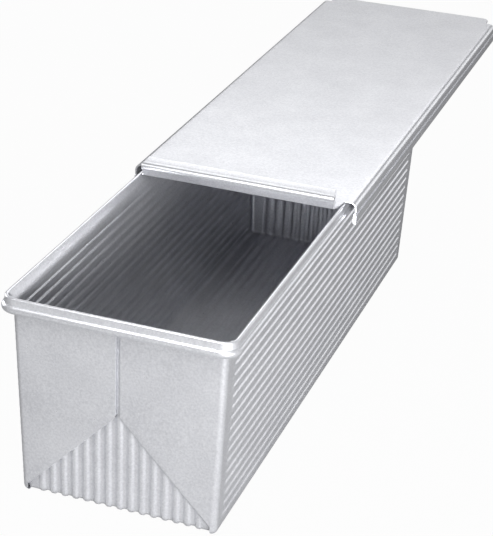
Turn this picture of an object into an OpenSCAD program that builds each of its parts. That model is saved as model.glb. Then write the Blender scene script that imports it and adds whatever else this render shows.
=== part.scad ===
// Loaf pan with a sliding lid: a ribbed sheet blank folded at the corners,
// a wired rim, and a flat lid that slides on the rim between hemmed skirts.
// Millimetres, Z up, origin on the resting plane under the middle of the pan.

/* [Pan] */
// Outside width across the two bottom bends
base_w = 97; // [96:1:140]
// Outside length across the two end bends
base_l = 321.8; // [180:1:420]
// Height of the rim's crest above the table
pan_h = 104; // [100:1:115]
// Lean of all four walls
draft = 1.8; // [1:0.1:3]
// Sheet thickness of pan and lid
sheet = 0.8; // [0.6:0.05:1]
// Outside radius of the bends and of the upright corners
bend_r = 3; // [2.5:0.1:4]

/* [Ribs] */
// Ribs across the floor and each end wall
floor_ribs = 15; // [7:2:15]
// Ribs down each side wall
side_ribs = 15; // [7:2:15]
// Distance from rib to rib
rib_pitch = 5.6; // [4:0.1:5.6]
// Height of a rib from valley to crest
rib_rise = 0.84; // [0.6:0.02:1]
// Width of a rib's crest
rib_crest = 0.7; // [0.4:0.1:1]
// Width of the valley between two ribs
rib_valley = 1.2; // [0.8:0.1:1.5]
// Height of the lowest side rib above its bend
rib_low = 3.4; // [2.6:0.1:5]
// Plain sheet between the side ribs and the corner folds
rib_margin = 4; // [2:0.5:10]
// Height of the ribbed field of the end walls above their bends
end_rib_h = 84; // [70:1:86]

/* [Ears] */
// Free gap between the two folded ears of an end wall
ear_gap = 2.3; // [1:0.1:20]
// Height of the diagonal fold at the ears' free edges
ear_fold_h = 53; // [45:1:60]
// Depth of the small pocket left open at the foot of each fold
tuck_depth = 1; // [0.5:0.1:1.4]
// Length of that pocket
tuck_len = 3; // [2:0.2:5]
// Height of that pocket
tuck_h = 1.6; // [1:0.1:2.5]

/* [Rim] */
// Diameter of the wire in the rim and in the lid's lip
wire_d = 2.7; // [2:0.1:2.8]
// Play round a wire in its roll
wire_play = 0.05; // [0.02:0.01:0.1]
// How far the wire's middle stands out from the wall
wire_out = 3.3; // [3.3:0.1:4]
// Depth of the wire's middle under the rim's crest
wire_drop = 5.5; // [5.2:0.1:6]
// How far the crest's middle stands out from the wall
crest_out = 3; // [2.8:0.1:3.4]
// Middle radius of the folded crest
crest_r = 0.6; // [0.5:0.05:0.7]

/* [Lid] */
// How far the lid has been slid open
lid_slide = 166.6; // [0:0.1:167]
// Length of the lid's two skirts
skirt_l = 337.2; // [330:1:345]
// Length of the flat top from edge to edge
lid_l = 359; // [352:1:364]
// Width of the lid over its two skirts
lid_w = 121.9; // [121:0.1:126]
// Outside radius of the shoulder between top and skirt
shoulder_r = 3.65; // [3.2:0.05:4.2]
// Depth from the lid's top to the foot of the skirt
skirt_h = 12; // [11:0.1:14]
// Height of the hem folded up outside the skirt
hem_h = 4.2; // [3:0.1:4.6]
// How far the hemmed foot of the skirt is set in under the shoulder
hem_step = 0.7; // [0.4:0.1:1]
// Gap between the two layers of the hem
hem_gap = 0.2; // [0.15:0.05:0.4]
// Width of the top at its two ends, beyond the skirts
tab_w = 109.8; // [100:0.2:110]
// Width of the lip
lip_w = 103.4; // [90:0.2:105]
// Radius of the top's two far corners
far_r = 5; // [2:0.5:8]
// Running gap between the rim's crest and the lid
lid_gap = 0.25; // [0.2:0.05:0.4]

/* [Lip] */
// Height of the lip's shelf above the lid's top
lip_h = 7.8; // [7.6:0.1:8.6]
// Height of the lip wire's middle above the lid's top
lip_wire_h = 4.4; // [4:0.1:4.6]
// Depth of the lip from its front foot to the middle of its back
lip_deep = 7; // [6.6:0.1:9]
// Middle radius of the lip's back corner
lip_back_r = 1.4; // [1:0.1:2]
// Forward lean of the lip's front
lip_lean = 28; // [22:1:30]

/* [Hidden] */
$fn = 48;

// How far a folded part stands proud of the flat sheet it holds
fold_step = 0.05;
// How far a fold wraps on over the flat sheet beside it
fold_lap = 0.26;
// How far one stretch of sheet runs on into the next
lap = 0.3;
// How deep the ears are pressed onto the rib crests
ear_press = 0.1;
// Overrun of every cut
over = 1;

rise = rib_rise / 2;
mid_r = bend_r - sheet / 2;
bend_x = base_w / 2 - bend_r;
bend_y = base_l / 2 - bend_r;
bend_z = rise + bend_r;
// The ears: two layers of sheet outside the rib crests
ear_in = bend_r + rise - ear_press;
ear_out = bend_r + rise + 2 * sheet;
ear_off = ear_out - bend_r;
// Foot of an ear's diagonal fold, and the run of the fold from its free edge
ear_foot_x = bend_x + bend_r - sheet;
ear_along = [ear_foot_x - ear_gap / 2, ear_fold_h - bend_z];
corner_y = bend_y + ear_off / cos(draft);
corner_tilt = atan(sqrt(2) * tan(draft));
fold_out = bend_r + fold_step;
fold_in = bend_r - sheet - fold_step;

// The rim starts below its roll, on the top of the walls
rim_t = sheet + 2 * fold_step;
roll_in = wire_d / 2 + wire_play;
roll_mid = roll_in + rim_t / 2;
roll_out = roll_in + rim_t;
crest_z = pan_h - crest_r - rim_t / 2;
wire_z = pan_h - wire_drop;
seat_z = wire_z - roll_mid / 2;
foot_z = wire_z - roll_out - sheet;
wall_top = (seat_z - lap - bend_z) / cos(draft);

function hundredths(v) = round(v * 100) / 100;
rim_x = hundredths(bend_x + bend_r / cos(draft) + (seat_z - bend_z) * tan(draft));
rim_y = hundredths(bend_y + ear_out / cos(draft) + (seat_z - bend_z) * tan(draft));

// The lid
lid_z = pan_h + lid_gap;
lid_top = lid_z + sheet;
lid_mid = lid_z + sheet / 2;
skirt_x = lid_w / 2 - sheet / 2;
shoulder_mid = shoulder_r - sheet / 2;
shoulder_x = skirt_x - shoulder_mid;
shoulder_z = lid_mid - shoulder_mid;
hem_r = (sheet + hem_gap) / 2;
hem_x = skirt_x - hem_step;
hem_z = lid_top - skirt_h + hem_r + sheet / 2;
lip_wire_z = lid_top + lip_wire_h;
lip_back_z = lid_top + lip_h - lip_back_r - sheet / 2;
lip_roll = wire_d / 2 + wire_play + sheet / 2;
lip_wire_y = -lid_l / 2 + (lip_roll + sheet / 2 - (lip_wire_z - lid_z) * sin(lip_lean)) / cos(lip_lean);

// Points of an arc
function arc(c, r, from, to, steps) =
    [for (i = [0:steps]) c + r * [cos(from + (to - from) * i / steps), sin(from + (to - from) * i / steps)]];

// Outline of a strip of sheet along a line of points, mitred at each point
function side_of(a, b) = [a.y - b.y, b.x - a.x] / norm(b - a);
function mitre(p, i) =
    i == 0 ? side_of(p[0], p[1]) :
    i == len(p) - 1 ? side_of(p[i - 1], p[i]) :
    let (m = side_of(p[i - 1], p[i]) + side_of(p[i], p[i + 1])) m * 2 / (m * m);
function ribbon(p, t) = concat(
    [for (i = [0:len(p) - 1]) p[i] + mitre(p, i) * t / 2],
    [for (i = [len(p) - 1:-1:0]) p[i] - mitre(p, i) * t / 2]);
function turned(p) = [for (q = p) [q.y, q.x]];
function moved(p, v) = [for (q = p) q + v];

// Line of a ribbed sheet from one plain edge to the other, ribs centred on middle
slope = (rib_pitch - rib_crest - rib_valley) / 2;
function ribbed(count, middle, from, to) =
    let (first = middle - (count - 1) / 2 * rib_pitch, last = middle + (count - 1) / 2 * rib_pitch,
         out = rib_crest / 2 + slope / 2)
    concat([[from, mid_r], [first - out, mid_r]],
        [for (k = [0:count - 1], q = k < count - 1 ? [0:3] : [0:1])
            let (x = first + k * rib_pitch)
            [q == 0 ? x - rib_crest / 2 : q == 1 ? x + rib_crest / 2 :
             x + rib_pitch / 2 + (q == 2 ? -1 : 1) * rib_valley / 2,
             mid_r + (q < 2 ? rise : -rise)]],
        [[last + out, mid_r], [to, mid_r]]);

// Pan body

// Frames of the bends: along an end wall, and along a side wall
module end_frame() { translate([0, bend_y, bend_z]) rotate([-draft, 0, 0]) children(); }
module side_frame() { translate([bend_x, 0, bend_z]) rotate([0, draft, 0]) children(); }

strip = ribbed(floor_ribs, 0, -bend_x, bend_x);

module pan_floor() {
    translate([0, -bend_y, bend_z]) rotate([-90, 0, 0])
        linear_extrude(2 * bend_y) polygon(ribbon(strip, sheet));
}

module end_bend() {
    translate([0, bend_y, bend_z]) rotate([0, 90, 0])
        rotate_extrude(angle = 90 - draft) polygon(ribbon(turned(strip), sheet));
}

module end_wall() {
    spread = sin(draft);
    end_frame() {
        linear_extrude(end_rib_h) polygon(ribbon(strip, sheet));
        for (s = [-1, 1])
            translate([0, bend_r, 0]) rotate([90, 0, 0]) linear_extrude(sheet)
                polygon([[s * (bend_x - lap), 0], [s * bend_x, 0],
                         [s * (bend_x + wall_top * spread), wall_top], [s * (bend_x - lap), wall_top]]);
        translate([0, bend_r, 0]) rotate([90, 0, 0]) linear_extrude(sheet)
            polygon([for (s = [-1, 1], q = s < 0 ? [0, 1] : [1, 0])
                [s * bend_x, q == 0 ? end_rib_h - lap : wall_top]]);
    }
}

module side_bend() {
    translate([bend_x, 0, bend_z]) rotate([90, 0, 0])
        rotate_extrude(angle = 90 - draft, start = -90)
            translate([bend_r - sheet, -bend_y]) square([sheet, 2 * bend_y]);
}

module side_wall() {
    spread = sin(draft);
    middle = rib_low + (side_ribs - 1) / 2 * rib_pitch;
    run = corner_y - rib_margin;
    side_frame() {
        translate([0, run, 0]) rotate([90, 0, 0])
            linear_extrude(2 * run) polygon(ribbon(turned(ribbed(side_ribs, middle, 0, wall_top)), sheet));
        for (s = [-1, 1])
            translate([bend_r - sheet, 0, 0]) rotate([90, 0, 90]) linear_extrude(sheet)
                polygon([[s * (run - lap), 0], [s * corner_y, 0],
                         [s * (corner_y + wall_top * spread), wall_top], [s * (run - lap), wall_top]]);
    }
}

// The upright corner: the side wall's sheet turned round over the ear
module corner_fold() {
    steps = 8;
    translate([bend_x, bend_y, bend_z])
        rotate([0, 0, 45]) rotate([0, corner_tilt, 0]) rotate([0, 0, -45])
            linear_extrude(wall_top / cos(draft))
                polygon(concat(
                    [[fold_out, -fold_lap]], arc([0, ear_off], fold_out, 0, 90, steps), [[-fold_lap, ear_off + fold_out]],
                    [[-fold_lap, fold_in]], arc([0, 0], fold_in, 90, 0, steps), [[fold_in, -fold_lap]]));
}

// The foot of the corner, where floor, side and ear are drawn together
module corner_foot() {
    r = fold_out + fold_step;
    top = bend_z + lap + fold_step;
    intersection() {
        difference() {
            union() {
                translate([bend_x, corner_y, bend_z]) sphere(r);
                translate([bend_x, bend_y - fold_lap, bend_z]) rotate([-90, 0, 0]) cylinder(r = r, h = corner_y - bend_y + fold_lap);
            }
            translate([bend_x, bend_y, bend_z]) sphere(fold_in - fold_step);
        }
        translate([bend_x - fold_lap, bend_y - fold_lap, 0]) cube([2 * r, 2 * r + ear_off, top]);
    }
}

// An ear: the doubled corner of the blank, folded flat against the end wall
module ear() {
    spread = sin(draft);
    inner = ear_gap / 2;
    fold_r = (ear_out - ear_in) / 2 + fold_step;
    end_frame() {
        translate([0, ear_out, 0]) rotate([90, 0, 0]) linear_extrude(ear_out - ear_in)
            polygon([[inner, ear_along.y], [bend_x, ear_along.y * (ear_foot_x - bend_x) / ear_along.x],
                     [bend_x + wall_top * spread, wall_top], [inner, wall_top]]);
        // the rolled edge of the diagonal fold
        intersection() {
            translate([inner, (ear_in + ear_out) / 2, ear_along.y]) rotate([0, 90 + atan(ear_along.y / ear_along.x), 0])
                translate([0, 0, -bend_r]) cylinder(r = fold_r, h = norm(ear_along) + bend_r);
            translate([inner, 0, 0]) cube([bend_x + fold_lap - inner, 2 * ear_out, wall_top]);
        }
    }
}

// Section of the rim: wall, folded crest, groove and the roll round the wire
roll_start = 80;
roll_end = -225;
rim_line = concat(
    [[-sheet / 2 - (seat_z - foot_z) * tan(draft), foot_z], [-sheet / 2 + lap * tan(draft), seat_z + lap]],
    arc([crest_out, crest_z], crest_r, 180, 0, 8),
    arc([wire_out, wire_z], roll_mid, roll_start, roll_end, 20));

// Copies a section round the rim, with rounded corners
module round_rim(section_r) {
    x = rim_x - section_r;
    y = rim_y - section_r;
    for (a = [0, 180]) rotate([0, 0, a]) {
        translate([x, y, 0]) rotate([90, 0, 0]) linear_extrude(2 * y) children();
        translate([-x, y, 0]) rotate([90, 0, 90]) linear_extrude(2 * x) children();
        translate([x, y, 0]) rotate_extrude(angle = 90) children();
        translate([-x, y, 0]) rotate([0, 0, 90]) rotate_extrude(angle = 90) children();
    }
}

module rim_roll() {
    round_rim(bend_r) polygon(moved(ribbon(rim_line, rim_t), [bend_r, 0]));
}

// The three layers of an end, drawn out together under the crest
module end_stack() {
    back = bend_r - ear_out - fold_step - sheet;
    lean = (seat_z - foot_z) * tan(draft);
    translate([-rim_x + sheet, rim_y, 0]) rotate([90, 0, 90]) linear_extrude(2 * (rim_x - sheet))
        polygon([[back - lean, foot_z], [back, seat_z + lap],
                 [crest_out - crest_r - rim_t / 4, crest_z], [crest_out - crest_r, crest_z - rim_t],
                 [-sheet / 2, seat_z], [-sheet / 2 - lean, foot_z]]);
}

// The small pocket left open where an ear's diagonal fold starts
module tuck() {
    end_frame()
        translate([bend_x, ear_out - tuck_depth, tuck_h / 2]) rotate([0, atan(ear_along.y / ear_along.x), 0])
            translate([-tuck_len / 2, 0, -tuck_h / 2]) cube([tuck_len, tuck_depth + over, tuck_h]);
}

module pan_body() color("#c9c6c0") {
    pan_floor();
    for (m = [0, 1]) mirror([0, m, 0]) {
        end_bend();
        end_wall();
        end_stack();
        for (n = [0, 1]) mirror([n, 0, 0]) difference() {
            union() {
                corner_foot();
                corner_fold();
                ear();
            }
            tuck();
        }
    }
    for (n = [0, 1]) mirror([n, 0, 0]) {
        side_bend();
        side_wall();
    }
    rim_roll();
}

module pan_rim_wire() color("#8d8c88")
    round_rim(bend_r) translate([bend_r + wire_out, wire_z]) circle(d = wire_d);

// Lid

// Half of the lid's section, from the hem's edge over the shoulder to the middle
half_lid = concat(
    [[hem_x + 2 * hem_r, hem_z + hem_h]],
    arc([hem_x + hem_r, hem_z], hem_r, 0, -180, 4),
    [[hem_x, hem_z + hem_h], [skirt_x, hem_z + hem_h + sheet]],
    arc([shoulder_x, shoulder_z], shoulder_mid, 0, 90, 8));
lid_line = concat(half_lid, [for (i = [len(half_lid) - 1:-1:0]) [-half_lid[i].x, half_lid[i].y]]);

// Line of the lip's section: up the back, over the shelf and down to the groove,
// round the wire, and down the leaning front to the foot
groove_turn = 62;
shelf_turn = 100;
lip_back_y = -lid_l / 2 + lip_deep;
lip_line = concat(
    [[lip_back_y, lid_mid]],
    arc([lip_back_y - lip_back_r, lip_back_z], lip_back_r, 0, shelf_turn, 5),
    arc([lip_wire_y, lip_wire_z], lip_roll, groove_turn, 180 + lip_lean, 12),
    [[-lid_l / 2 + sheet / 2 * cos(lip_lean), lid_z + sheet / 2 * sin(lip_lean)]]);

module lid_top_end(points) {
    translate([0, 0, lid_z]) linear_extrude(sheet) polygon(points);
}

module lid_sheet() color("#c4c3c0") translate([0, lid_slide, 0]) {
    near = skirt_l / 2 - lap;
    translate([0, skirt_l / 2, 0]) rotate([90, 0, 0]) linear_extrude(skirt_l) polygon(ribbon(lid_line, sheet));
    lid_top_end(concat(
        [[tab_w / 2, near]],
        arc([tab_w / 2 - far_r, lid_l / 2 - far_r], far_r, 0, 90, 6),
        arc([far_r - tab_w / 2, lid_l / 2 - far_r], far_r, 90, 180, 6),
        [[-tab_w / 2, near]]));
    lid_top_end([[tab_w / 2, -near], [lip_w / 2 + sheet, -lid_l / 2], [-lip_w / 2 - sheet, -lid_l / 2], [-tab_w / 2, -near]]);
    translate([-lip_w / 2, 0, 0]) rotate([90, 0, 90]) linear_extrude(lip_w) polygon(ribbon(lip_line, sheet));
}

module lid_lip_wire() color("#8d8c88")
    translate([-lip_w / 2, lid_slide + lip_wire_y, lip_wire_z]) rotate([0, 90, 0]) cylinder(d = wire_d, h = lip_w);

pan_body();
pan_rim_wire();
lid_sheet();
lid_lip_wire();
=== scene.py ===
# Loaf pan with a sliding lid, dressed for the photograph
import math
import bmesh
import bpy
from mathutils import Matrix, Vector


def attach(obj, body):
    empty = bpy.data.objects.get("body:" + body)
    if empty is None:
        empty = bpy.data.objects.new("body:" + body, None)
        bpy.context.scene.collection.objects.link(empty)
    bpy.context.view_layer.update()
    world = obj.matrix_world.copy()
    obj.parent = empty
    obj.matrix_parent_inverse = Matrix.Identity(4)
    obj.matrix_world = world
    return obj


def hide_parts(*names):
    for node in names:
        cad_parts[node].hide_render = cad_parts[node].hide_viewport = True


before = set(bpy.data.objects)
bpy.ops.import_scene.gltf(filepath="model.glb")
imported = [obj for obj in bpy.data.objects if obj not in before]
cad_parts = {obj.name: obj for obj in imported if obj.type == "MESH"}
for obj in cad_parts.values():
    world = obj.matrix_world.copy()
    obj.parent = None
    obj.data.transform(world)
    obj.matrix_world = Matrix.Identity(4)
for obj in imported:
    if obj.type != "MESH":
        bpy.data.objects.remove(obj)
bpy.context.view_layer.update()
mm = 0.001
print("frame loaded:", sorted(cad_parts))

# Sizes in millimetres and degrees, as in the CAD source, and how finely each bend is divided.
# The side walls have two ribs more than the CAD, and the highest one is only half pressed.
pan = {
    "baseWide": 97, "baseLong": 321.8, "high": 104, "lean": 1.8, "sheet": 0.8, "bend": 3,
    "ribPitch": 5.6, "ribRise": 0.84, "ribCrest": 0.6, "ribValley": 1.0, "ribs": 15, "endRibHigh": 84,
    "sideRibs": 17, "sideRibLow": 3.4, "ribMargin": 4, "weakRibFrom": 90, "weakRib": 0.5, "ribFree": 0.8,
    "endBendSteps": 12, "sideBendSteps": 10,
}
# The ear is the sheet folded double against the end wall; its lap runs a little way round the corner.
# Its upright bend is slightly crimped, and its free edge shows the seam between its two layers.
ear = {
    "gap": 2.3, "fold": 53, "press": 0.1, "lap": 1.5, "footRows": 3, "foldRows": 42, "wallRows": 40,
    "flatSteps": 6, "cornerSteps": 12, "rollSteps": 10, "footSteps": 6, "footShort": 0.999,
    "underSteps": 10, "sideSteps": 8,
    "crimp": 0.07, "crimpTurn": 2.1, "crimpSway": 1.3, "crimpDrift": 0.83, "crimpFade": 4,
    "edgeRound": 0.06, "seamTop": 0.08, "seamMid": 0.02, "seamFoot": 0.1, "seamDeep": 0.12,
}
# The wall curves out to the folded crest, then come a groove and the roll round the wire.
# Under the crest the end wall's own sheet is drawn out: places outward and up, from foot and head.
rim = {
    "wire": 2.7, "play": 0.05, "wireOut": 3.3, "wireDrop": 5.5, "crestOut": 3.0, "crestR": 0.6,
    "footShare": 1.5, "wallIn": 0.05, "wallDrop": 1.2, "curveShares": (0.1, 0.3, 0.6), "curvePower": 1.5,
    "crestFrom": 170, "crestSteps": 10, "grooveOut": 0.02, "grooveDrop": 0.5,
    "rollFrom": 72, "rollTo": -225, "rollSteps": 36, "cornerSteps": 12,
    "endFoot": ((-0.03, -1), (0.15, 0.5)), "endHead": ((-1.8, -2.4), (-0.45, -0.3)),
}

lean = math.radians(pan["lean"])
spread = math.sin(lean)
rise = pan["ribRise"] / 2
thick = pan["sheet"]
# where the bends' axes run, how far the ear's faces stand off them, and the upright corner's place
bendX = pan["baseWide"] / 2 - pan["bend"]
bendY = pan["baseLong"] / 2 - pan["bend"]
bendZ = rise + pan["bend"]
earIn = pan["bend"] + rise - ear["press"]
earOut = pan["bend"] + rise + 2 * thick
earOff = earOut - pan["bend"]
cornerY = bendY + earOff / math.cos(lean)
# the sheet's middle round the wire, and the seat: where the straight walls end and the rim begins
rollMid = rim["wire"] / 2 + rim["play"] + thick / 2
crestZ = pan["high"] - rim["crestR"] - thick / 2
wireZ = pan["high"] - rim["wireDrop"]
seatZ = wireZ - rollMid / 2
wallTop = (seatZ - bendZ) / math.cos(lean)
rimX = bendX + pan["bend"] / math.cos(lean) + (seatZ - bendZ) * math.tan(lean)
rimY = bendY + earOut / math.cos(lean) + (seatZ - bendZ) * math.tan(lean)

# Mesh helpers: every surface is a grid of rows of points in millimetres
weldDistance = 0.00001
sharpAngle = math.radians(35)


def addGrid(bm, rows, closed=False, caps=False):
    made = [[bm.verts.new(Vector(p) * mm) for p in row] for row in rows]
    for a, b in zip(made, made[1:]):
        n = len(a)
        for i in range(n if closed else n - 1):
            j = (i + 1) % n
            bm.faces.new((a[i], a[j], b[j], b[i]))
    if caps:
        bm.faces.new(made[0])
        bm.faces.new(list(reversed(made[-1])))


def finishPiece(name, bm):
    # welds the grids, turns the faces outward and keeps only real folds sharp
    bmesh.ops.remove_doubles(bm, verts=bm.verts, dist=weldDistance)
    bmesh.ops.recalc_face_normals(bm, faces=bm.faces)
    for f in bm.faces:
        f.smooth = True
    for e in bm.edges:
        e.smooth = len(e.link_faces) == 2 and e.calc_face_angle(0) < sharpAngle
    mesh = bpy.data.meshes.new(name)
    bm.to_mesh(mesh)
    bm.free()
    piece = bpy.data.objects.new(name, mesh)
    bpy.context.scene.collection.objects.link(piece)
    return piece


def mirrored(bm, axis):
    # copies everything across the middle plane of an axis
    flip = Matrix.Scale(-1, 4, Vector([1 if i == axis else 0 for i in range(3)]))
    copy = bmesh.ops.duplicate(bm, geom=bm.verts[:] + bm.edges[:] + bm.faces[:])["geom"]
    bmesh.ops.transform(bm, matrix=flip, verts=[g for g in copy if isinstance(g, bmesh.types.BMVert)])
    bmesh.ops.reverse_faces(bm, faces=[g for g in copy if isinstance(g, bmesh.types.BMFace)])


def onArc(cx, cy, r, degrees):
    a = math.radians(degrees)
    return (cx + r * math.cos(a), cy + r * math.sin(a))


def arc(cx, cy, r, start, end, steps):
    return [onArc(cx, cy, r, start + (end - start) * i / steps) for i in range(steps + 1)]


def ribbon(line, t):
    # closed outline of a strip of sheet along a line of points
    pts = [Vector(p) for p in line]
    sides = [Vector((a.y - b.y, b.x - a.x)).normalized() for a, b in zip(pts, pts[1:])]
    turns = [(a + b) * 2 / (a + b).length_squared for a, b in zip(sides, sides[1:])]
    offs = [sides[0]] + turns + [sides[-1]]
    return [tuple(p + o * t / 2) for p, o in zip(pts, offs)] + \
        [tuple(p - o * t / 2) for p, o in reversed(list(zip(pts, offs)))]


# A rolled rib: narrow crest, wider valley, and flanks that are steepest in the middle
ribFlank = (pan["ribPitch"] - pan["ribCrest"] - pan["ribValley"]) / 2
flankShares = (0, 0.15, 0.28, 0.4, 0.5, 0.6, 0.72, 0.85, 1)
halfFlank = len(flankShares) // 2 + 1


def ribWave(u):
    # height at a distance from the nearest crest, from 1 on the crest to -1 in the valley
    t = min(max((abs(u) - pan["ribCrest"] / 2) / ribFlank, 0), 1)
    return 1 - 2 * t ** 3 * (10 - 15 * t + 6 * t * t)


def ribShape(x, count):
    # height across a row of ribs, flat beyond the outermost flanks
    half = (count - 1) / 2 * pan["ribPitch"]
    if abs(x) > half:
        return max(ribWave(abs(x) - half), 0)
    u = (x + half) % pan["ribPitch"]
    return ribWave(min(u, pan["ribPitch"] - u))


def ribStations(count):
    # where the sheet is sampled across the ribs, closest on the flanks; the outermost flanks end halfway
    half = (count - 1) / 2 * pan["ribPitch"]
    flank = [pan["ribCrest"] / 2 + ribFlank * t for t in flankShares]
    near = [0] + flank + [pan["ribPitch"] - v for v in reversed(flank)]
    run = [-half + k * pan["ribPitch"] + v for k in range(count - 1) for v in near]
    side = [half] + [half + v for v in flank[:halfFlank]]
    return [-v for v in reversed(side[1:])] + run + side


# How a rib fades out at its end: distance from there and strength
ribFade = ((-3, 1), (-2.4, 0.94), (-1.7, 0.76), (-0.9, 0.42), (-0.3, 0.15), (0, 0.04), (0.5, 0))


def ribEnd(run):
    return [(run + d, amp) for d, amp in ribFade]


def endNormal(angle):
    # outward normal on the far side: down at 0, out of the end wall at 90 degrees less the lean
    return Vector((0, math.sin(angle), -math.cos(angle)))


def endStations():
    # from the floor's middle out to the end and up the wall: origin, normal, half width, rib strength
    out = [((0, 0, bendZ), endNormal(0), bendX, 1)]
    steps = pan["endBendSteps"]
    for i in range(steps + 1):
        out.append(((0, bendY, bendZ), endNormal((math.pi / 2 - lean) * i / steps), bendX, 1))
    up = Vector((0, math.sin(lean), math.cos(lean)))
    wall = endNormal(math.pi / 2 - lean)
    for h, amp in ribEnd(pan["endRibHigh"]) + [(wallTop, 0)]:
        out.append((Vector((0, bendY, bendZ)) + up * h, wall, bendX + h * spread, amp))
    return out


def addStrip(bm):
    # floor and end walls, pressed as one ribbed strip
    ribXs = ribStations(pan["ribs"])
    rows = []
    for origin, normal, half, amp in endStations():
        xs = [-half] + ribXs + [half]
        o = Vector(origin)
        waves = [amp * rise * ribShape(x, pan["ribs"]) for x in xs]
        outer = [o + Vector((x, 0, 0)) + normal * (pan["bend"] + w) for x, w in zip(xs, waves)]
        inner = [o + Vector((x, 0, 0)) + normal * (pan["bend"] - thick + w) for x, w in zip(xs, waves)]
        rows.append(outer + inner[::-1])
    addGrid(bm, rows, closed=True)


def addSide(bm):
    # the side wall with its bottom bend, from the middle to the corner
    normal = Vector((math.cos(lean), 0, -math.sin(lean)))
    up = Vector((math.sin(lean), 0, math.cos(lean)))
    axis = Vector((bendX, 0, bendZ))
    middle = pan["sideRibLow"] + (pan["sideRibs"] - 1) / 2 * pan["ribPitch"]
    steps = pan["sideBendSteps"]
    line = []
    for i in range(steps):
        a = (math.pi / 2 - lean) * i / steps
        line.append((axis, Vector((math.sin(a), 0, -math.cos(a))), 0, 0))
    line.append((axis, normal, 0, 0))
    for z in ribStations(pan["sideRibs"]):
        h = middle + z
        if h < wallTop - pan["ribFree"]:
            wave = ribShape(z, pan["sideRibs"])
            if h > pan["weakRibFrom"]:
                wave = min(wave, pan["weakRib"])
            line.append((axis + up * h, normal, h, wave))
    line.append((axis + up * wallTop, normal, wallTop, 0))
    run = cornerY - pan["ribMargin"]
    rows = []
    for y, amp in [(0, 1)] + ribEnd(run) + [(None, 0)]:
        row = []
        for depth, part in ((pan["bend"], line), (pan["bend"] - thick, line[::-1])):
            for o, n, h, w in part:
                p = o + n * (depth + rise * amp * w)
                row.append(Vector((p.x, cornerY + h * spread - ear["lap"] if y is None else y, p.z)))
        rows.append(row)
    addGrid(bm, rows, closed=True)


# Ear: the doubled corner of the sheet. The upright corner turns from the end wall's direction to the
# side wall's, and the diagonal fold runs from the bottom corner up to the ear's free edge.
earUp = Vector((0, math.sin(lean), math.cos(lean)))
endOut = Vector((0, math.cos(lean), -math.sin(lean)))
sideOut = Vector((math.cos(lean), 0, -math.sin(lean)))
plumb = Vector((0, 0, -1))
cornerUp = Vector((math.tan(lean), math.tan(lean), 1))
cornerFoot = Vector((bendX, cornerY, bendZ))
cornerTurn = [endOut.slerp(sideOut, i / ear["cornerSteps"]) for i in range(ear["cornerSteps"] + 1)]
freeX = ear["gap"] / 2
footX = bendX + pan["bend"] - thick
foldTop = ear["fold"] - bendZ
foldLow = foldTop * (footX - bendX) / (footX - freeX)


def earAt(x, h, n):
    # a place on the ear: across the end wall, up along it and out of it
    return Vector((0, bendY, bendZ)) + Vector((x, 0, 0)) + earUp * h + endOut * n


def earHeights():
    # rows below the fold, along it and above it
    foot, along, above = ear["footRows"], ear["foldRows"], ear["wallRows"]
    hs = [foldLow * i / foot for i in range(foot)]
    hs += [foldLow + (foldTop - foldLow) * i / along for i in range(along + 1)]
    return hs + [foldTop + (wallTop - foldTop) * i / above for i in range(1, above + 1)]


def flatEnd(h):
    # where the flat face meets the upright corner, and how high that is
    z = h * math.cos(lean) - math.sin(lean) * earOff
    return bendX + math.tan(lean) * z, z


def flatStart(h):
    # on the diagonal fold, and above it on the free edge
    fold = freeX + (foldTop - h) / foldTop * (footX - freeX) if h < foldTop else freeX
    return min(fold, flatEnd(h)[0])


def crimpAt(h):
    # how far the upright bend stands out, fading at its foot and top
    wave = math.sin(h * ear["crimpTurn"] + ear["crimpSway"] * math.sin(h * ear["crimpDrift"]))
    return ear["crimp"] * wave * min(h / ear["crimpFade"], 1, (wallTop - h) / ear["crimpFade"])


def addEarFace(bm):
    # flat on the end wall, round the upright corner, onto the side wall
    flat, turns = ear["flatSteps"], ear["cornerSteps"]
    rows = []
    for h in earHeights():
        start = flatStart(h)
        end, z = flatEnd(h)
        row = [earAt(start + (end - start) * i / flat, h, earOut) for i in range(flat)]
        crimp = crimpAt(h)
        row += [cornerFoot + cornerUp * z + n * (pan["bend"] + crimp * math.sin(i / turns * math.pi))
                for i, n in enumerate(cornerTurn)]
        row.append(row[-1] + Vector((0, -ear["lap"], 0)))
        rows.append(row)
    addGrid(bm, rows)


def addFold(bm, folds):
    # the diagonal fold is rolled, not creased
    r = (earOut - earIn) / 2
    length = math.hypot(footX - freeX, foldTop)
    px, ph = -foldTop / length, -(footX - freeX) / length
    roll = [math.pi / 2 - math.pi * i / ear["rollSteps"] for i in range(ear["rollSteps"] + 1)]
    addGrid(bm, [[earAt(max(x + px * r * math.cos(s), freeX), h + ph * r * math.cos(s),
                        (earIn + earOut) / 2 + r * math.sin(s)) for s in roll] for x, h in folds])


def addFreeEdge(bm):
    # the two layers of sheet with the seam between them, from the outer face inward
    seam = earOut - thick
    r = ear["edgeRound"]
    layers = [(0, earOut), (-r, earOut - r), (-r, seam + ear["seamTop"]),
              (ear["seamDeep"], seam - ear["seamMid"]), (-r, seam - ear["seamFoot"]), (-r, earIn)]
    addGrid(bm, [[earAt(freeX + dx, h, n) for dx, n in layers] for h in (foldTop, wallTop)])


def addEarBack(bm, folds):
    # the face toward the end wall, above the fold and along it
    for line in ([(freeX, foldTop), (freeX, wallTop)], folds):
        addGrid(bm, [[earAt(x, h, earIn), earAt(bendX + h * spread, h, earIn)] for x, h in line])


def roundFoot(centre, r):
    # a ball-shaped corner, from just short of straight down up to the upright corner's turn
    steps = ear["footSteps"]
    shares = [ear["footShort"]] + [1 - d / steps for d in range(1, steps + 1)]
    return [[centre + n.slerp(plumb, share) * r for n in cornerTurn] for share in shares]


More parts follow.
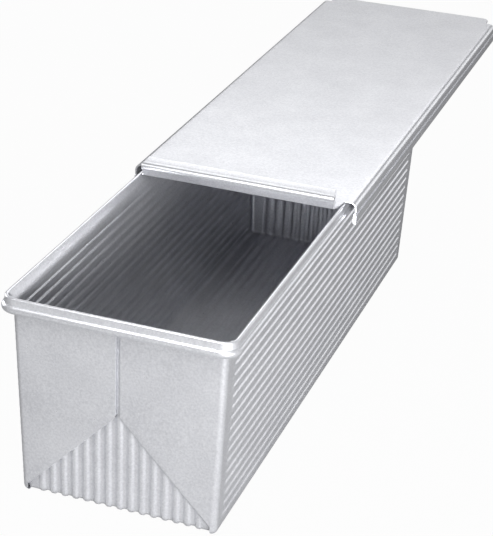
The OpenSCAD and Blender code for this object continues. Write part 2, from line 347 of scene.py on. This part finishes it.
def addEarFoot(bm):
    # the rounded foot, and the bend that runs out to it under the ear
    addGrid(bm, roundFoot(cornerFoot, pan["bend"]))
    steps = ear["underSteps"]
    tilts = [(math.pi / 2 - lean) * i / steps for i in range(steps + 1)]
    under = [Vector((math.sin(t), 0, -math.cos(t))) for t in tilts]
    addGrid(bm, [[Vector((bendX, y, bendZ)) + n * pan["bend"] for n in under]
                 for y in (bendY - ear["lap"], cornerY)])
    # the foot's inner side is open in its upper half, where the fold begins
    steps = ear["sideSteps"]
    shut = [cornerFoot + plumb.slerp(endOut, i / steps) * pan["bend"] for i in range(steps // 2 + 1)]
    addGrid(bm, [[Vector((bendX, p.y, p.z)) for p in shut], [Vector((bendX, bendY, p.z)) for p in shut]])


def addInnerCorner(bm):
    # the corner as seen from inside the pan
    inner = Vector((bendX, bendY, bendZ))
    r = pan["bend"] - thick
    rows = roundFoot(inner, r)
    rows.append([inner + cornerUp * wallTop * math.cos(lean) + n * r for n in cornerTurn])
    addGrid(bm, rows)


def addEar(bm):
    folds = [(flatStart(h), h) for h in earHeights() if foldLow <= h <= foldTop]
    addEarFace(bm)
    addFold(bm, folds)
    addFreeEdge(bm)
    addEarBack(bm, folds)
    addEarFoot(bm)
    addInnerCorner(bm)


def rimStations(r):
    # the rounded rectangle of the rim: corner centres, then the outward direction
    x, y = rimX - r, rimY - r
    out = []
    for cx, cy, start in ((x, y, 0), (-x, y, 90), (-x, -y, 180), (x, -y, 270)):
        for i in range(rim["cornerSteps"] + 1):
            a = math.radians(start + 90 / rim["cornerSteps"] * i)
            out.append((Vector((cx, cy, 0)), Vector((math.cos(a), math.sin(a), 0))))
    return out + out[:1]


def addRim(bm):
    # wall, folded crest, groove and the roll round the wire
    foot = wireZ - rollMid - thick * rim["footShare"]
    drop = seatZ - foot
    low, high = (-thick / 2, seatZ), (rim["crestOut"] - rim["crestR"], crestZ)
    line = [(low[0] - drop * math.tan(lean), foot), (low[0] - rim["wallIn"], low[1] - rim["wallDrop"])]
    for t in rim["curveShares"]:
        line.append((low[0] + (high[0] - low[0]) * t ** rim["curvePower"], low[1] + (high[1] - low[1]) * t))
    line += arc(rim["crestOut"], crestZ, rim["crestR"], rim["crestFrom"], 0, rim["crestSteps"])
    line += [(rim["crestOut"] + rim["crestR"] + rim["grooveOut"], crestZ - rim["grooveDrop"])]
    line += arc(rim["wireOut"], wireZ, rollMid, rim["rollFrom"], rim["rollTo"], rim["rollSteps"])
    loop = ribbon(line, thick)
    rows = []
    for centre, out in rimStations(pan["bend"]):
        rows.append([centre + out * (pan["bend"] + s) + Vector((0, 0, z)) for s, z in loop])
    addGrid(bm, rows, closed=True)


def addEndFlares(bm):
    # the end walls' own sheet, drawn out under the crest
    foot = pan["bend"] - earOut - thick
    head = rim["crestOut"] - rim["crestR"]
    line = [(foot + out, seatZ + up) for out, up in rim["endFoot"]]
    line += [(head + out, crestZ + up) for out, up in rim["endHead"]]
    wide = rimX - thick
    for s in (-1, 1):
        addGrid(bm, [[Vector((x, s * (rimY + out), z)) for out, z in line] for x in (-wide, wide)])


def quarters(maker, both=True):
    # builds a part once and mirrors it over the middle planes
    bm = bmesh.new()
    maker(bm)
    if both:
        mirrored(bm, 0)
    mirrored(bm, 1)
    return bm


def buildPan():
    whole = bmesh.new()
    for bm in (quarters(addStrip, False), quarters(addSide), quarters(addEar)):
        part = bpy.data.meshes.new("part")
        bm.to_mesh(part)
        bm.free()
        whole.from_mesh(part)
        bpy.data.meshes.remove(part)
    addRim(whole)
    addEndFlares(whole)
    return finishPiece("panShell", whole)


panShell = buildPan()
print("pan built:", len(panShell.data.polygons), "faces")

# Lid: its flat top, shoulders, hemmed skirts and the lip rolled round a wire. Each skirt has a small
# soft step outward above its hem, and the lip's back eases down into a valley before the wire.
lid = {
    "slide": 166.6, "skirtLong": 337.2, "long": 359, "wide": 121.9, "shoulder": 3.65,
    "skirtHigh": 12, "hemHigh": 4.2, "hemStep": 0.7, "hemGap": 0.2, "tabWide": 109.8,
    "farR": 5, "gap": 0.25, "hemSteps": 8, "shoulderSteps": 14, "skirtSteps": 24, "cornerSteps": 8,
    "stepDrop": 0.3, "stepOut": 0.1, "stepRise": 0.2, "stepIn": 0.08, "stepEnd": 0.5,
    "topXs": (54, 36, 24, 12),
}
lip = {
    "wide": 103.4, "high": 7.8, "wireHigh": 4.4, "deep": 7, "backR": 1.4, "lean": 28, "taper": 0.003,
    "backDrop": 0.5, "backTo": 98, "easeFrom": 0.8, "easeShares": (0, 0.25, 0.5, 0.75),
    "valleyAt": 60, "rollFrom": 84, "backSteps": 9, "rollSteps": 20, "steps": 8, "endIn": 0.1,
}

lidZ = pan["high"] + lid["gap"]
lidTop = lidZ + thick
lidMid = lidZ + thick / 2
skirtX = lid["wide"] / 2 - thick / 2
shoulderR = lid["shoulder"] - thick / 2
hemR = (thick + lid["hemGap"]) / 2
hemX = skirtX - lid["hemStep"]
hemZ = lidTop - lid["skirtHigh"] + hemR + thick / 2
lidFront = -lid["long"] / 2
lipWireZ = lidTop + lip["wireHigh"]
lipLean = math.radians(lip["lean"])
lipWireY = (rollMid + thick / 2 - (lipWireZ - lidZ) * math.sin(lipLean)) / math.cos(lipLean) + lidFront
lipBackY = lidFront + lip["deep"]
lipBackZ = lidTop + lip["high"] - lip["backR"] - thick / 2


def lidSection():
    # across the lid: the hem folded inside the skirt, a small step out, the shoulder and the flat top
    hemTop = hemZ + lid["hemHigh"]
    half = [(hemX + 2 * hemR, hemTop)]
    half += arc(hemX + hemR, hemZ, hemR, 0, -180, lid["hemSteps"])
    half += [(hemX, hemTop - lid["stepDrop"]), (hemX + lid["stepOut"], hemTop + lid["stepRise"]),
             (skirtX - lid["stepIn"], hemTop + thick), (skirtX, hemTop + thick + lid["stepEnd"])]
    half += arc(skirtX - shoulderR, lidMid - shoulderR, shoulderR, 0, 90, lid["shoulderSteps"])
    half += [(x, lidMid) for x in lid["topXs"]]
    return half + [(0, lidMid)] + [(-x, z) for x, z in reversed(half)]


def lipSection():
    # along the lid: up the lip's back, over it, down into a soft valley and round the wire
    r = lip["backR"]
    line = [(lipBackY, lidMid), (lipBackY, lipBackZ - lip["backDrop"])]
    line += arc(lipBackY - r, lipBackZ, r, 0, lip["backTo"], lip["backSteps"])
    valley = Vector(onArc(lipWireY, lipWireZ, rollMid, lip["valleyAt"]))
    enter = Vector(onArc(lipWireY, lipWireZ, rollMid, lip["rollFrom"]))
    start = valley + (Vector(line[-1]) - valley).normalized() * lip["easeFrom"]
    for t in lip["easeShares"]:
        line.append(tuple(start.lerp(valley, t).lerp(valley.lerp(enter, t), t)))
    line += arc(lipWireY, lipWireZ, rollMid, lip["rollFrom"], 180 + lip["lean"], lip["rollSteps"])
    line += [(lidFront + thick / 2 * math.cos(lipLean), lidZ + thick / 2 * math.sin(lipLean))]
    return line


def placed(points):
    # moves lid points to where the photo shows the lid
    return [Vector((x, y + lid["slide"], z)) for x, y, z in points]


def addPlate(bm, outline):
    # a flat end of the lid's top, with the thickness of the sheet
    lower = [bm.verts.new(p * mm) for p in placed([(x, y, lidZ) for x, y in outline])]
    upper = [bm.verts.new(p * mm) for p in placed([(x, y, lidTop) for x, y in outline])]
    bm.faces.new(lower)
    bm.faces.new(upper)
    for i in range(len(outline)):
        j = (i + 1) % len(outline)
        bm.faces.new((lower[i], lower[j], upper[j], upper[i]))


def buildLid():
    bm = bmesh.new()
    near, far = -lid["skirtLong"] / 2, lid["skirtLong"] / 2
    loop = ribbon(lidSection(), thick)
    steps = lid["skirtSteps"]
    ys = [near + (far - near) * i / steps for i in range(steps + 1)]
    addGrid(bm, [placed([(x, y, z) for x, z in loop]) for y in ys], closed=True, caps=True)
    # the ends of the flat top, beyond the skirts
    r, tab, steps = lid["farR"], lid["tabWide"] / 2, lid["cornerSteps"]
    wide = lip["wide"] / 2
    edge = [(tab, far)] + arc(tab - r, lid["long"] / 2 - r, r, 0, 90, steps)
    addPlate(bm, edge + arc(r - tab, lid["long"] / 2 - r, r, 90, 180, steps) + [(-tab, far)])
    addPlate(bm, [(-tab, near), (-wide - thick, lidFront), (wide + thick, lidFront), (tab, near)])

    # the lip gets a little narrower toward its back, and its ends are closed
    def lipAt(x, line):
        return placed([(x * (1 - lip["taper"] * (y - lidFront)), y, z) for y, z in line])

    section = ribbon(lipSection(), thick)
    xs = [-wide + 2 * wide * i / lip["steps"] for i in range(lip["steps"] + 1)]
    addGrid(bm, [lipAt(x, section) for x in xs], closed=True, caps=True)
    for x in (-wide + lip["endIn"], wide - lip["endIn"]):
        bm.faces.new([bm.verts.new(p * mm) for p in lipAt(x, lipSection())])
    return finishPiece("lidShell", bm)


lidShell = buildLid()
print("lid built:", len(lidShell.data.polygons), "faces")


# Materials
def srgb(text):
    # hex to linear
    out = []
    for i in (0, 2, 4):
        v = int(text[i:i + 2], 16) / 255
        out.append(v / 12.92 if v <= 0.04045 else ((v + 0.055) / 1.055) ** 2.4)
    return (*out, 1)


def addNode(tree, kind, settings=None, links=None):
    # one node with its settings and links; a link is (input, node, output)
    node = tree.nodes.new(kind)
    for key, value in (settings or {}).items():
        if isinstance(key, int) or key in node.inputs:
            node.inputs[key].default_value = value
        else:
            setattr(node, key, value)
    for socket, source, output in (links or []):
        tree.links.new(source.outputs[output], node.inputs[socket])
    return node


def newMaterial(name):
    m = bpy.data.materials.new(name)
    m.use_nodes = True
    m.node_tree.nodes.clear()
    return m, m.node_tree


# Aluminised steel: sheet dipped in an aluminium alloy, then rolled and pressed, left bare. It has a
# soft grey shine, a fine frosty grain, faint clouds in the coating and light rub marks.
aluminisedSheet = {
    "light": "dadbdf", "dark": "c2c3c8", "metallic": 0.74, "roughness": 0.3, "roughSpread": 0.032,
    "grainMm": 1.1, "grainDetail": 3, "grainFine": 0.7, "cloudMm": 20, "cloudDetail": 3,
    "rubMm": 0.5, "rubLong": 14, "rubDetail": 1, "bumpMm": 0.008,
    "cloudShare": 0.25, "rubShare": 0.4, "toneRange": (0.35, 0.65), "wornRange": (0.3, 0.7),
}


def sheetMaterial(name, look):
    # grain and clouds tint the metal; grain and rub marks vary its shine and give it a slight relief
    material, tree = newMaterial(name)
    place = addNode(tree, "ShaderNodeTexCoord")
    grain = addNode(tree, "ShaderNodeTexNoise",
                    {"Scale": 1 / (look["grainMm"] * mm), "Detail": look["grainDetail"],
                     "Roughness": look["grainFine"]}, [("Vector", place, "Object")])
    cloud = addNode(tree, "ShaderNodeTexNoise",
                    {"Scale": 1 / (look["cloudMm"] * mm), "Detail": look["cloudDetail"]},
                    [("Vector", place, "Object")])
    along = addNode(tree, "ShaderNodeMapping", {"Scale": (1, 1 / look["rubLong"], 1)},
                    [("Vector", place, "Object")])
    rub = addNode(tree, "ShaderNodeTexNoise",
                  {"Scale": 1 / (look["rubMm"] * mm), "Detail": look["rubDetail"]},
                  [("Vector", along, "Vector")])
    both = addNode(tree, "ShaderNodeMix", {"data_type": "FLOAT", 0: look["cloudShare"]},
                   [(2, grain, "Fac"), (3, cloud, "Fac")])
    tone = addNode(tree, "ShaderNodeMapRange",
                   {"From Min": look["toneRange"][0], "From Max": look["toneRange"][1]}, [("Value", both, 0)])
    colour = addNode(tree, "ShaderNodeMix",
                     {"data_type": "RGBA", 6: srgb(look["dark"]), 7: srgb(look["light"])},
                     [(0, tone, "Result")])
    worn = addNode(tree, "ShaderNodeMix", {"data_type": "FLOAT", 0: look["rubShare"]},
                   [(2, grain, "Fac"), (3, rub, "Fac")])
    rough = addNode(tree, "ShaderNodeMapRange",
                    {"From Min": look["wornRange"][0], "From Max": look["wornRange"][1],
                     "To Min": look["roughness"] + look["roughSpread"],
                     "To Max": look["roughness"] - look["roughSpread"]}, [("Value", worn, 0)])
    bump = addNode(tree, "ShaderNodeBump", {"Strength": 1.0, "Distance": look["bumpMm"] * mm},
                   [("Height", worn, 0)])
    metal = addNode(tree, "ShaderNodeBsdfPrincipled", {"Metallic": look["metallic"]},
                    [("Base Color", colour, 2), ("Roughness", rough, "Result"), ("Normal", bump, "Normal")])
    addNode(tree, "ShaderNodeOutputMaterial", links=[("Surface", metal, "BSDF")])
    return material


aluminisedSteel = sheetMaterial("aluminisedSteelSheet", aluminisedSheet)
panShell.data.materials.append(aluminisedSteel)
lidShell.data.materials.append(aluminisedSteel)

# Galvanised steel wire: drawn, then zinc dipped, so it is duller and a little darker than the sheet
drawnWire = dict(aluminisedSheet, light="9a9a9a", dark="838383", roughness=0.45,
                 grainMm=0.5, cloudMm=8, rubMm=0.3)
wireSteel = sheetMaterial("galvanisedDrawnWire", drawnWire)
for name, material in (("pan_rim_wire", wireSteel), ("lid_lip_wire", wireSteel),
                       ("pan_body", aluminisedSteel), ("lid_sheet", aluminisedSteel)):
    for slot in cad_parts[name].material_slots:
        slot.material = material
print("materials done")

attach(panShell, "pan")
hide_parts("pan_body")
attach(lidShell, "lid")
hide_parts("lid_sheet")

# Studio: a pale floor, a dim sky and soft boxes around the pan, so that the folds of the metal
# show as light and dark bands. A box's place, aim and size are in metres, its glow is its radiance.
# The floor and sky look white to the camera; other rays meet a grey matte floor, and glossy ones
# also a little of its glow.
studio = {
    "cameraGlow": 0.97, "glossGlow": 0.05, "sky": 0.16,
    "floor": "7c7c7c", "floorReach": 4, "floorDrop": 0.0002,
    "boxes": {
        "backHigh": {"at": (-0.22, 1.24, 1.04), "aim": (0, 0, 0.05), "size": (1.2, 0.8), "glow": 2},
        "backLow": {"at": (-0.26, 1.5, 0.54), "aim": (0, 0, 0.05), "size": (1.2, 0.5), "glow": 0.5},
        "rightFar": {"at": (0.79, 1.26, 0.26), "aim": (0, 0, 0.05), "size": (0.9, 0.45), "glow": 1.5},
        "frontRight": {"at": (0.54, -0.71, 0.18), "aim": (0, 0, 0.05), "size": (0.45, 0.25), "glow": 43},
        "frontHigh": {"at": (0.22, -0.81, 1.05), "aim": (0, 0, 0.05), "size": (0.8, 0.8), "glow": 3.3},
        "left": {"at": (-1.13, 0.2, 0.4), "aim": (0, 0, 0.05), "size": (0.7, 0.6), "glow": 4},
        "mouth": {"at": (-0.05, -0.45, 0.6), "aim": (0, 0.05, 0), "size": (0.3, 0.3), "glow": 9.5},
    },
}
white = (1, 1, 1, 1)


def buildFloor():
    bm = bmesh.new()
    for x, y in ((-1, -1), (1, -1), (1, 1), (-1, 1)):
        bm.verts.new((x * studio["floorReach"], y * studio["floorReach"], -studio["floorDrop"]))
    bm.faces.new(bm.verts)
    mesh = bpy.data.meshes.new("studioFloor")
    bm.to_mesh(mesh)
    bm.free()
    floor = bpy.data.objects.new("studioFloor", mesh)
    bpy.context.scene.collection.objects.link(floor)
    m, t = newMaterial("studioWhite")
    ray = addNode(t, "ShaderNodeLightPath")
    matte = addNode(t, "ShaderNodeBsdfDiffuse", {"Color": srgb(studio["floor"])})
    glow = addNode(t, "ShaderNodeEmission", {"Color": white, "Strength": 1.0})
    other = addNode(t, "ShaderNodeMath", {"operation": "MAXIMUM"},
                    [(0, ray, "Is Glossy Ray"), (1, ray, "Is Transmission Ray")])
    dim = addNode(t, "ShaderNodeMath", {"operation": "MULTIPLY", 1: studio["glossGlow"]},
                  [(0, other, "Value")])
    full = addNode(t, "ShaderNodeMath", {"operation": "MULTIPLY", 1: studio["cameraGlow"]},
                   [(0, ray, "Is Camera Ray")])
    part = addNode(t, "ShaderNodeMath", {"operation": "MAXIMUM"}, [(0, dim, "Value"), (1, full, "Value")])
    mix = addNode(t, "ShaderNodeMixShader",
                  links=[(0, part, "Value"), (1, matte, "BSDF"), (2, glow, "Emission")])
    addNode(t, "ShaderNodeOutputMaterial", links=[("Surface", mix, "Shader")])
    mesh.materials.append(m)


def buildSky():
    world = bpy.data.worlds.new("studioSky")
    bpy.context.scene.world = world
    world.use_nodes = True
    t = world.node_tree
    t.nodes.clear()
    ray = addNode(t, "ShaderNodeLightPath")
    plain = addNode(t, "ShaderNodeBackground", {"Color": white, "Strength": studio["sky"]})
    seen = addNode(t, "ShaderNodeBackground", {"Color": white, "Strength": 1.0})
    mix = addNode(t, "ShaderNodeMixShader",
                  links=[(0, ray, "Is Camera Ray"), (1, plain, "Background"), (2, seen, "Background")])
    addNode(t, "ShaderNodeOutputWorld", links=[("Surface", mix, "Shader")])


def buildBoxes():
    for name, box in studio["boxes"].items():
        wide, high = box["size"]
        lamp = bpy.data.lights.new(name, "AREA")
        lamp.shape = "RECTANGLE"
        lamp.size, lamp.size_y = wide, high
        lamp.energy = box["glow"] * math.pi * wide * high
        holder = bpy.data.objects.new(name, lamp)
        holder.location = box["at"]
        holder.rotation_euler = (Vector(box["at"]) - Vector(box["aim"])).to_track_quat("Z", "Y").to_euler()
        bpy.context.scene.collection.objects.link(holder)


buildFloor()
buildSky()
buildBoxes()
print("studio done")

# Camera fitted to the photograph: place in metres, turns in radians, focal length and middle in
# pixels of the frame, sensor in millimetres
camera = {"at": (0.25527, -0.76876, 0.44211), "yaw": 0.32862, "pitch": 0.43332, "roll": -0.04816,
          "focal": 1689.5, "middle": (229.58, 246.70), "frame": (493, 536), "sensor": 36, "reach": 20}


def buildCamera():
    yaw, pitch, roll = camera["yaw"], camera["pitch"], camera["roll"]
    forward = Vector((-math.sin(yaw) * math.cos(pitch), math.cos(yaw) * math.cos(pitch), -math.sin(pitch)))
    level = Vector((math.cos(yaw), math.sin(yaw), 0))
    under = forward.cross(level)
    right = level * math.cos(roll) + under * math.sin(roll)
    down = under * math.cos(roll) - level * math.sin(roll)
    lens = bpy.data.cameras.new("photoCamera")
    wide, high = camera["frame"]
    lens.sensor_fit = "AUTO"
    lens.sensor_width = camera["sensor"]
    lens.lens = camera["focal"] * camera["sensor"] / high
    lens.shift_x = (wide / 2 - camera["middle"][0]) / high
    lens.shift_y = (camera["middle"][1] - high / 2) / high
    lens.clip_end = camera["reach"]
    holder = bpy.data.objects.new("photoCamera", lens)
    turn = Matrix((right, -down, -forward)).transposed().to_4x4()
    holder.matrix_world = Matrix.Translation(Vector(camera["at"])) @ turn
    bpy.context.scene.collection.objects.link(holder)
    bpy.context.scene.camera = holder


buildCamera()
bpy.context.scene.view_settings.view_transform = "Standard"
print("camera done")
